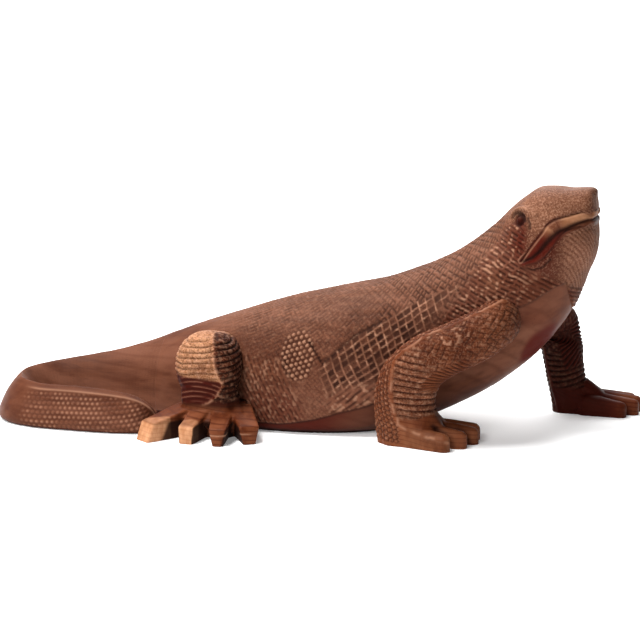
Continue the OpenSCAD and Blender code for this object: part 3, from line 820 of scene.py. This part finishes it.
class Course:
    """Length along a loft and the share of the way round it, for any point near its surface."""

    def __init__(self, line, step=0.7, columns=160):
        pts, self.rows, self.girth, self.u = grid(line, step, columns)
        self.m = columns
        self.pts = pts.reshape(-1, 3)
        along = np.gradient(pts, self.rows, axis=0)
        around = (np.roll(pts, -1, 1) - np.roll(pts, 1, 1)) / 2 * self.m
        self.along, self.around = along.reshape(-1, 3), around.reshape(-1, 3)
        self.tree = KDTree(len(self.pts))
        for i, p in enumerate(self.pts):
            self.tree.insert(p, i)
        self.tree.balance()

    def find(self, points):
        hits = [self.tree.find(p)[1:] for p in points]
        i = np.array([h[0] for h in hits])
        d = np.array([h[1] for h in hits])
        gap = points - self.pts[i]
        a, r = self.along[i], self.around[i]
        s = self.rows[i // self.m] + np.clip((gap * a).sum(1) / ((a * a).sum(1) + 1e-9), -1, 1)
        v = (i % self.m) / self.m + np.clip((gap * r).sum(1) / ((r * r).sum(1) + 1e-9), -0.01, 0.01)
        return s, v % 1.0, d, np.interp(s, self.rows, self.girth)


def finish_leg(name, me, points, normal, depth, out):
    """The carved leg. Its root stays as it was fitted to the body, and the joint there is dark."""
    near = np.array([body_tree.find_nearest(p)[3] for p in points])
    depth = depth * ease(near, 0.12, 0.9)
    depth[points[:, 2] <= 0.03] = 0
    moved = points + normal * depth[:, None]
    moved[:, 2] = np.maximum(moved[:, 2], 0)
    out["cut"] = np.maximum(out["cut"], 0.75 * (1 - ease(near, 0.2, 0.9)))
    me.vertices.foreach_set("co", ((moved + SHIFT) * MM).astype(np.float32).ravel())
    me.name = name
    return finished(name, me, out)


# On the right front leg, the creases between its toes and the ridge from the elbow to the first toe.
CREASES = [[[53, -40.5, 11.5], [60, -42.5, 9], [66, -44, 5], [66, -44, 0]],
           [[58, -34, 10.5], [70, -33, 7], [71, -33, 0]],
           [[58, -27, 10], [70, -24.5, 7], [72, -24, 0]]]
RIGHT_RIDGE = [[36.8, -47.6, 45.7], [36.2, -49.0, 38.5], [35.4, -47.9, 30], [35.6, -46.3, 22.4],
               [36.6, -44.6, 15.8], [39.5, -43.6, 11.2], [45, -46.1, 8.6], [53.5, -49, 7.2],
               [61.1, -50.6, 6.6], [64.9, -49.6, 5.4]]
ELBOW_U = 4.3                              # the elbow's place among the stations of either arm


def front_leg(name, line, toes, palm, instep, right):
    shells = [closed_grid(line, 2.0, 72), pad(palm), pad(instep)] + [toe(t, 9) for t in toes]
    me = sculpt(name, shells)
    p, normal = mesh_arrays(me)
    course = Course(line)
    s, v, far, g = course.find(p)
    out = blank(len(p))
    dark, wear_and_glint, sap, red, plain, grit = out.values()
    depth = np.zeros(len(p))
    x, y, z = p.T
    vf = np.maximum(v, 1 - v)                     # .5 the back of the leg, .75 its face, 1 the crook
    arm = ease(1.6 - far, 0, 0.8)
    if right:
        shoulder = rings_at(line, np.array([0.8, 1.4, 2.0, 2.6, 3.2, 3.6, 3.9]), np.radians([66.0, 58.0]))
        ridge = [list(q) for q in shoulder[:6, 0]] + [list(shoulder[6, 1])] + RIGHT_RIDGE
    else:
        down = rings_at(line, np.linspace(0.8, 7, 12), np.radians([28.0]))
        ridge = [list(q) for q in down[:, 0]]
    r_d, _ = from_line(p, laid_on(p, ridge))
    rs, rv, _, _ = course.find(np.array(ridge[:-4] if right else ridge))
    order = np.argsort(rs)
    v_ridge = np.interp(s, rs[order], np.maximum(rv, 1 - rv)[order])
    over = (vf - v_ridge) * g                     # mm from the ridge toward the crook
    behind = ease(-over, 0.6, 1.6) * ease(4.6 - far, 0, 1.5) * ease(z, 1.2, 3)
    elbow = np.interp(ELBOW_U, course.u, course.rows)
    fore = ease(s, elbow - 5, elbow + 1) * ease(z, 13, 16.5)
    face = ease(over, 0.6, 1.6) * arm
    upper = (1 - ease(s, elbow - 5, elbow + 1)) * face
    crook = ease(vf, 0.81, 0.84) * (1 - ease(vf, 0.96, 1.0))
    crook *= ease(s, elbow - 26, elbow - 18) * (1 - ease(s, elbow + 6, elbow + 12))
    wob = noise(p, 9, 41) - 0.5
    # small dots behind the ridge
    dot = dots(over, s, 2.3, 2.4)
    # ribs across the forearm
    rib = (z + 0.12 * (x - 40) + 1.2 * wob) / 3.25 if right else s / 3.2 + 0.4 * wob
    rib_cut = cut(rib, 0.27)
    # a diagonal net on the upper part
    w = vf * g
    jit = noise(p, 3.5, 42) - 0.5
    na = 0.74 * s + 0.67 * w + 1.5 * wob + 0.8 * jit
    nb = 0.74 * s - 0.67 * w + 1.5 * wob + 0.8 * jit
    net = crossed(na, nb, 2.8, 9.0, 0.27, 61)
    glint = ease(noise(p, 1.4, 43), 0.56, 0.78)
    slash = cut((s + 0.8 * w) / 2.8, 0.33)

    depth += behind * (-0.25 + 0.65 * dot)
    dark += behind * (1 - ease(dot, 0.0, 0.45)) * 0.6
    # painted glints on the dots
    wear_and_glint += behind * ease(dot, 0.5, 1) * glint * 0.6
    ribs = fore * face * (1 - crook)
    spot = ease(noise(p, 1.0, 45), 0.42, 0.62)
    depth += ribs * (0.3 - 0.95 * rib_cut - 0.2 * spot * (1 - rib_cut))
    dark += ribs * np.maximum(rib_cut, 0.40 * spot)
    grit += 0.9 * ribs + 0.6 * behind
    # painted glints on the ribs
    wear_and_glint += ribs * (1 - rib_cut) * glint * 0.30
    wear_and_glint += ribs * (1 - ease(rib_cut, 0, 0.2)) * 0.10
    nets = upper * (1 - crook)
    depth += nets * (0.2 - 0.6 * net)
    dark += nets * np.maximum(net * 0.9, 0.26)
    # painted glints in the net, most near the shoulder
    wear_and_glint += nets * (1 - net) * glint * (0.25 + 0.5 * bell(over - 6, 6) * ease(s, elbow - 30, elbow - 18))
    grit += 0.6 * nets
    depth += crook * arm * (0.15 - slash)
    dark += crook * arm * slash * 0.95
    depth += 0.65 * bell(r_d, 1.15)
    # the ridge is pale in patches: wear and painted glints
    wear_and_glint += 0.55 * bell(r_d, 0.7) * ease(noise(p, 4, 44), 0.3, 0.6)
    dark *= 1 - 0.85 * bell(r_d, 1.2)
    hand = 1 - ease(z, 11, 15)
    plain += hand
    if right:
        for path in CREASES:
            c_d, _ = from_line(p, path)
            depth -= 1.3 * bell(c_d, 1.2)
            dark += 0.95 * bell(c_d, 1.6)
    lines = cut((z + 0.35 * x - 0.5 * y + 2 * wob) / 2.2, 0.2) * hand * arm * ease(z, 8, 10)
    depth -= 0.15 * lines
    dark += 0.25 * lines
    if right:
        outer = ease(-(y + 43.5), 0, 2.5) * ease(x, 36, 46)
        sap += 0.14 * outer * (1 - ease(z, 9, 12)) + 0.12 * hand
    depth += 0.3 * (noise(p, 8, 51) - 0.5) + 0.14 * (noise(p, 3.5, 52) - 0.5)
    # painted shade: the far front leg lies in the body's shadow, so it is darker and redder toward the floor,
    # less at the toe tips, with fewer glints
    if not right:
        shade = ease(68 - z, 0, 22) * (1 - 0.75 * ease(x, 130, 143))
        dark *= 0.75
        dark += 0.62 * shade
        wear_and_glint *= 0.30
        grit *= 0.5
        red += 0.85 * shade
    red += 0.15 * ease(noise(p, 16, 53), 0.5, 0.8)
    return finish_leg(name, me, p, normal, depth, out)


KNEE_RIDGE = [[-60.5, -47, 53], [-58.4, -52.3, 50.2], [-56.5, -55.6, 46.4], [-56.1, -57.3, 41.5],
              [-55.2, -57.6, 36.4], [-53.5, -56.8, 32.4], [-52.4, -55.4, 28.2], [-55.1, -53.9, 22.4],
              [-59.3, -52.1, 18.6], [-63, -51.5, 16.5]]


def hind_leg(name, right):
    slab = [c for p in HIND_SLAB for c in ball(*p, EDGE_BALL)]
    slab += [c for p in SLAB_SOLE for c in disc(*p, -1, EDGE_BALL + 1)]
    shells = [closed_grid(THIGH, 1.6, 72), hull(slab), pad(STEM)]
    shells += [hind_toe(t, *shape) for t, shape in zip(HIND_TOES, TOE_SHAPES)]
    if not right:
        shells = [([[q[0] + LEFT_HIND_X, -q[1], q[2]] for q in points], faces) for points, faces in shells]
    me = sculpt(name, shells)
    p, normal = mesh_arrays(me)
    q = p if right else np.stack([p[:, 0] - LEFT_HIND_X, -p[:, 1], p[:, 2]], 1)     # on the right leg
    x, y, z = q.T
    out = blank(len(p))
    dark, wear_and_glint, sap, red, plain, grit = out.values()
    depth = np.zeros(len(p))
    wob = noise(q, 9, 61) - 0.5
    knee = ease(z, 15.5, 18.5)
    v_d, _ = from_line(q, laid_on(q, KNEE_RIDGE))
    # x of the ridge by height
    v_x = np.interp(z, [16, 19, 22.4, 28.2, 32.4, 36.4, 41.5, 46.4, 50.2, 54],
                    [-64, -59.3, -55.1, -52.4, -53.5, -55.2, -56.1, -56.5, -58.4, -61])
    left = ease(v_x - x, -0.4, 0.6)               # 1 on the side of the ridge toward the tail
    high = ease(z + 0.08 * (x + 65) + 1.5 * wob + 11.5 * (1 - left), 30.0, 32.5)
    rib = (z - 0.08 * (x + 65) + 1.1 * wob) / 2.8
    rib_cut = cut(rib, 0.27) * (1 - ease(z, 49.5, 51.5))
    bead = ease(noise(q, 1.1, 64), 0.42, 0.62)
    glint = ease(noise(q, 1.4, 65), 0.56, 0.78)
    ribs = knee * high
    depth += ribs * (0.35 - 0.95 * rib_cut - 0.25 * bead)
    # the ribs' cuts are darker on the side away from the tail: painted shade
    dark += ribs * (left * 0.58 + (1 - left)) * np.maximum(rib_cut, 0.45 * bead)
    grit += ribs
    # painted glints on the ribs, more on the side toward the tail
    wear_and_glint += ribs * glint * (0.35 + 0.25 * left) * (1 - rib_cut)
    lowz = knee * (1 - high)
    curve = (z + 0.15 * (x + 65) + 0.02 * (x + 62) ** 2) / 2.7
    fine = cut(curve, 0.17) * ease(noise(q, [6, 5, 2], 62), 0.25, 0.55)
    depth += lowz * (-0.25 + 0.3 * fine)
    wear_and_glint += lowz * left * fine * 0.44
    dark += lowz * left * ((1 - fine) * 0.42 + 0.40 * cut(curve + 0.5, 0.32))
    red += lowz * (0.95 * left + 0.7 * (1 - left)) + 0.35 * ribs * (1 - left)
    sap += ribs * left * (0.62 + 0.5 * wob)
    # painted shade over the side of the knee away from the tail, deeper lower down
    dark += (1 - left) * knee * (0.40 + 0.30 * ease(32 - z, 0, 6))
    depth += knee * 0.75 * bell(v_d, 0.9)
    wear_and_glint += 0.6 * knee * bell(v_d, 0.7) * ease(noise(q, [4, 4, 3], 63), 0.25, 0.6)
    dark *= 1 - 0.8 * bell(v_d, 0.9)
    neck = bell(z - 16.2, 1.2) * ease(-y, 40, 46)
    depth -= 0.35 * neck
    dark += 0.45 * neck
    # sapwood at the ends of the first two toes
    first_tip = np.hypot(np.maximum(np.abs(x + 85) - 4, 0), y + 71) + 0.6
    tip_d = np.minimum(first_tip, np.hypot(x + 66.5, y + 71) + 1.0)
    toe_front = ease(8.6 + 1.5 * wob - tip_d, 0, 2.0)
    sap += toe_front * (0.85 - 0.4 * ease(z, 8.2, 9.6)) * (1 - knee)
    # painted shade between the toes, and down the toe sides that face each other
    gap = np.ones(len(p))
    for t, shape in zip(HIND_TOES, TOE_SHAPES):
        a, b = np.array([*t[:2], 0.0]), np.array([*t[3:5], 0.0])
        off, part = from_line(q * [1, 1, 0], [a, b + (b - a) * 0.2])
        gap *= 1 - ease(shape[0] * (0.52 - 0.10 * part) + 0.4 - off, 0, 0.9)
    gap *= (1 - knee) * ease(11.0 - z, 0, 2) * ease(-y, 48, 52)
    dark += 0.95 * gap
    nx = normal[:, 0]
    shaded_side = np.where(nx > 0, x < -42, x > -76)
    dark += (shaded_side * ease(np.abs(nx), 0.40, 0.70) * (1 - knee) * ease(10.0 - z, 0, 1.5)
             * np.where(x < -74, ease(y - 0.4 * (z - 5), -69, -66.5), ease(y, -75, -73)))
    # a painted highlight along the edge across the ends of the last two toes
    wear_and_glint += 0.8 * bell(z - 5.6, 0.35) * ease(-y, 62, 66) * (x > -58)
    plain += 1 - knee + lowz
    depth += 0.3 * (noise(q, 8, 71) - 0.5) + 0.12 * (noise(q, 3.5, 72) - 0.5)
    return finish_leg(name, me, p, normal, depth, out)


# ---- materials ----

def wood(name, stretch, layers, rings=(0, 0, 1), ring_pitch=0.0024, deep=(0.054, 0.0105, 0.0034),
         mid=(0.106, 0.0265, 0.0092), light=(0.162, 0.050, 0.0215), carved=True, wax=0.42):
    """Waxed hardwood: streaks along the grain, growth layers, pores, dark cuts and painted shade, worn ridges
    and painted glints, sapwood.
    stretch is the scale of the grain by axis, rings the way across the layers, and wax the roughness."""
    mat = bpy.data.materials.new(name)
    mat.use_nodes = True
    t = mat.node_tree
    nodes, link = t.nodes, t.links.new
    nodes.clear()
    out = nodes.new("ShaderNodeOutputMaterial")
    bsdf = nodes.new("ShaderNodeBsdfPrincipled")
    link(bsdf.outputs[0], out.inputs[0])
    where = nodes.new("ShaderNodeTexCoord").outputs["Object"]

    def put(socket, x):
        if isinstance(x, bpy.types.NodeSocket):
            link(x, socket)
        else:
            socket.default_value = (*x, 1.0) if isinstance(x, tuple) else x

    def calc(op, *values, clamp=False):
        n = nodes.new("ShaderNodeMath")
        n.operation = op
        n.use_clamp = clamp
        for socket, x in zip(n.inputs, values):
            put(socket, x)
        return n.outputs[0]

    def mul(a, b):
        return calc("MULTIPLY", a, b)

    def mix(f, a, b):
        n = nodes.new("ShaderNodeMix")
        n.data_type = "RGBA"
        put(n.inputs["Factor"], f)
        put(n.inputs[6], a)
        put(n.inputs[7], b)
        return n.outputs[2]

    def tex(scale, detail, rough=0.55, distort=0.0, stretched=True):
        m = nodes.new("ShaderNodeMapping")
        m.inputs["Scale"].default_value = stretch if stretched else (1, 1, 1)
        link(where, m.inputs[0])
        n = nodes.new("ShaderNodeTexNoise")
        n.inputs["Scale"].default_value = scale
        n.inputs["Detail"].default_value = detail
        n.inputs["Roughness"].default_value = rough
        n.inputs["Distortion"].default_value = distort
        link(m.outputs[0], n.inputs["Vector"])
        return n.outputs["Fac"]

    def ramp(x, low, high):
        n = nodes.new("ShaderNodeMapRange")
        n.interpolation_type = "SMOOTHSTEP"
        put(n.inputs[0], x)
        n.inputs[1].default_value = low
        n.inputs[2].default_value = high
        return n.outputs[0]

    def layer(key):
        n = nodes.new("ShaderNodeAttribute")
        n.attribute_type = "GEOMETRY"
        n.attribute_name = key
        return n.outputs["Fac"]

    streak = tex(260, 4, 0.6)
    broad = tex(60, 3, 0.5, distort=0.3)
    cloud = tex(28, 3, 0.5, stretched=False)
    color = mix(ramp(streak, 0.30, 0.72), deep, mid)
    color = mix(mul(ramp(broad, 0.35, 0.75), 0.75), color, light)
    # growth layers: distance across the layers, bent by a broad noise
    dot = nodes.new("ShaderNodeVectorMath")
    dot.operation = "DOT_PRODUCT"
    dot.inputs[1].default_value = [r / ring_pitch for r in rings]
    link(where, dot.inputs[0])
    phase = calc("ADD", dot.outputs["Value"], mul(tex(18, 2, 0.5), 3.0))
    band = calc("ABSOLUTE", calc("SUBTRACT", calc("FRACT", phase), 0.5))
    band = ramp(band, 0.28, 0.5)
    color = mix(mul(band, layers), color, deep)
    color = mix(mul(calc("SUBTRACT", 1.0, band), mul(ramp(broad, 0.40, 0.60), layers * 0.6)), color, light)
    color = mix(mul(ramp(cloud, 0.42, 0.72), 0.35), color, light)
    pore = tex(1500, 2, 0.6)
    color = mix(mul(ramp(pore, 0.60, 0.74), 0.35), color, (0.04, 0.014, 0.009))
    rough = calc("MULTIPLY_ADD", ramp(streak, 0.3, 0.8), 0.16, wax)
    height = calc("MULTIPLY_ADD", pore, 0.25, mul(streak, 0.5))
    if carved:
        sap, red, dark, wear_and_glint, plain, grit = (layer(k) for k in ("sap", "red", "cut", "wear_and_glint", "plain", "grit"))
        fleck = tex(1150, 2, 0.6, stretched=False)
        sapwood = mix(ramp(streak, 0.3, 0.7), (0.34, 0.145, 0.065), (0.48, 0.24, 0.125))
        sapwood = mix(mul(band, 0.25), sapwood, (0.20, 0.075, 0.035))
        color = mix(ramp(red, 0.0, 1.0), color, (0.062, 0.0045, 0.0018))
        sap_edge = calc("ADD", sap, mul(calc("SUBTRACT", broad, 0.5), 0.35))
        color = mix(ramp(sap_edge, 0.05, 0.95), color, sapwood)
        color = mix(mul(mul(grit, ramp(fleck, 0.50, 0.62)), 0.60), color, deep)
        color = mix(mul(mul(grit, ramp(fleck, 0.50, 0.36)), 0.30), color, (0.42, 0.22, 0.14))
        height = calc("SUBTRACT", height, mul(mul(grit, ramp(fleck, 0.42, 0.62)), 1.3))
        # near-black of the cuts, also used for painted shade
        color = mix(mul(dark, 0.92), color, (0.012, 0.0035, 0.0025))
        # pale colour of worn edges, also used for painted glints, sheen and highlights
        color = mix(mul(wear_and_glint, 0.62), color, (0.44, 0.228, 0.140))
        rough = calc("ADD", rough, mul(dark, 0.22))
        rough = calc("SUBTRACT", rough, mul(plain, 0.08))
        rough = calc("ADD", rough, mul(cloud, 0.12), clamp=True)
    link(color, bsdf.inputs["Base Color"])
    link(rough, bsdf.inputs["Roughness"])
    bump = nodes.new("ShaderNodeBump")
    bump.inputs["Strength"].default_value = 0.35
    bump.inputs["Distance"].default_value = 0.0004
    link(height, bump.inputs["Height"])
    link(bump.outputs[0], bsdf.inputs["Normal"])
    bsdf.inputs["Specular IOR Level"].default_value = 0.06
    bsdf.inputs["Specular Tint"].default_value = (1.0, 0.80, 0.66, 1.0)
    return mat


def paper(name, albedo):
    mat = bpy.data.materials.new(name)
    mat.use_nodes = True
    t = mat.node_tree
    bsdf = t.nodes["Principled BSDF"]
    n = t.nodes.new("ShaderNodeTexNoise")
    n.inputs["Scale"].default_value = 900
    n.inputs["Detail"].default_value = 3
    mr = t.nodes.new("ShaderNodeMapRange")
    mr.inputs[3].default_value = albedo * 0.985
    mr.inputs[4].default_value = albedo
    cmb = t.nodes.new("ShaderNodeCombineColor")
    t.links.new(t.nodes.new("ShaderNodeTexCoord").outputs["Object"], n.inputs["Vector"])
    t.links.new(n.outputs["Fac"], mr.inputs[0])
    for k in range(3):
        t.links.new(mr.outputs[0], cmb.inputs[k])
    t.links.new(cmb.outputs[0], bsdf.inputs["Base Color"])
    t.links.new(cmb.outputs[0], bsdf.inputs["Emission Color"])
    bsdf.inputs["Emission Strength"].default_value = 0.22
    bsdf.inputs["Roughness"].default_value = 0.9
    bsdf.inputs["Specular IOR Level"].default_value = 0.0
    return mat


# ---- assembly ----

wood_long = wood("wood_grain_along", (0.12, 1.0, 1.0), layers=0.30, rings=(0.12, 0.35, 0.93),
                 ring_pitch=0.0075, deep=(0.053, 0.0135, 0.0060), mid=(0.100, 0.0320, 0.0155),
                 light=(0.156, 0.0600, 0.0350))
wood_leg = wood("wood_grain_leg", (1.0, 1.0, 0.45), layers=0.75, rings=(0.10, 0.05, 0.99), ring_pitch=0.0023)
dowel_mat = wood("wood_dowel", (1.0, 0.1, 1.0), layers=0.15, deep=(0.42, 0.27, 0.14), mid=(0.52, 0.36, 0.20),
                 light=(0.60, 0.44, 0.27), carved=False, wax=0.5)


def shown(ob, node, mat):
    ob.data.materials.append(mat)
    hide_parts(node)
    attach(ob, "root")


shown(make_body(), "body", wood_long)
shown(make_tail(), "tail", wood_long)
# the body's shape, which the roots of the legs are fitted to
block_shell = closed_grid(BODY, 1.2, 200)
body_block = plain_object("body_block", [block_shell])
body_tree = BVHTree.FromPolygons([Vector(p) for p in block_shell[0]], block_shell[1])
shown(front_leg("carved_front_leg_right", RIGHT_ARM, RIGHT_HAND, RIGHT_PALM, RIGHT_INSTEP, True),
      "front_leg_right", wood_leg)
shown(front_leg("carved_front_leg_left", LEFT_ARM, LEFT_HAND, LEFT_PALM, LEFT_INSTEP, False),
      "front_leg_left", wood_leg)
shown(hind_leg("carved_hind_leg_right", True), "hind_leg_right", wood_leg)
shown(hind_leg("carved_hind_leg_left", False), "hind_leg_left", wood_leg)
bpy.data.objects.remove(body_block)
for name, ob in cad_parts.items():
    if name.endswith("_dowel"):
        ob.data.materials.clear()
        ob.data.materials.append(dowel_mat)


# ---- studio ----

def sweep():
    """A white floor that curves up behind the object."""
    profile = [(-3.0, 0.0), (-1.2, 0.0), (0.0, 0.0), (1.2, 0.0)]
    profile += [(1.2 + 0.8 * math.sin(a), 0.8 - 0.8 * math.cos(a)) for a in np.linspace(0.1, math.pi / 2, 12)]
    profile += [(2.0, 1.6), (2.0, 3.0)]
    xs = np.linspace(-3.5, 3.5, 8)
    turn = math.radians(17)                       # square to the camera
    c, s = math.cos(turn), math.sin(turn)
    verts = [(x * c - y * s, x * s + y * c, z) for y, z in profile for x in xs]
    k = len(xs)
    faces = [(i * k + j, i * k + j + 1, (i + 1) * k + j + 1, (i + 1) * k + j)
             for i in range(len(profile) - 1) for j in range(k - 1)]
    me = bpy.data.meshes.new("sweep")
    me.from_pydata(verts, [], faces)
    me.polygons.foreach_set("use_smooth", [True] * len(faces))
    me.materials.append(paper("white_paper", 0.9))
    return placed("sweep", me)


sweep()


def aimed(ob, place, aim):
    ob.location = place
    ob.rotation_euler = (Vector(aim) - Vector(place)).to_track_quat("-Z", "Y").to_euler()
    return ob


def lamp(name, place, aim, size, watts):
    data = bpy.data.lights.new(name, "AREA")
    data.shape = "RECTANGLE"
    data.size, data.size_y = size
    data.energy = watts
    aimed(placed(name, data), place, aim)


lamp("key", (-0.35, -0.25, 1.10), (0.0, -0.02, 0.05), (0.50, 0.40), 21)
lamp("front", (-0.35, -1.35, 1.00), (0.0, 0.0, 0.05), (0.60, 0.45), 15)
lamp("back", (-0.3, 1.1, 1.5), (0.0, 0.9, 0.3), (2.4, 1.0), 45)

world = bpy.data.worlds.new("studio")
world.use_nodes = True
world.node_tree.nodes["Background"].inputs[0].default_value = (1, 1, 1, 1)
world.node_tree.nodes["Background"].inputs[1].default_value = 0.06
bpy.context.scene.world = world

cam = bpy.data.cameras.new("camera")
cam.lens = 81.56
cam.sensor_width = 36
cam.clip_start = 0.01
bpy.context.scene.camera = aimed(placed("camera", cam), (0.2281, -0.73735, 0.1971), (0.0197, -0.05565, 0.065))
bpy.context.scene.view_settings.view_transform = "Standard"
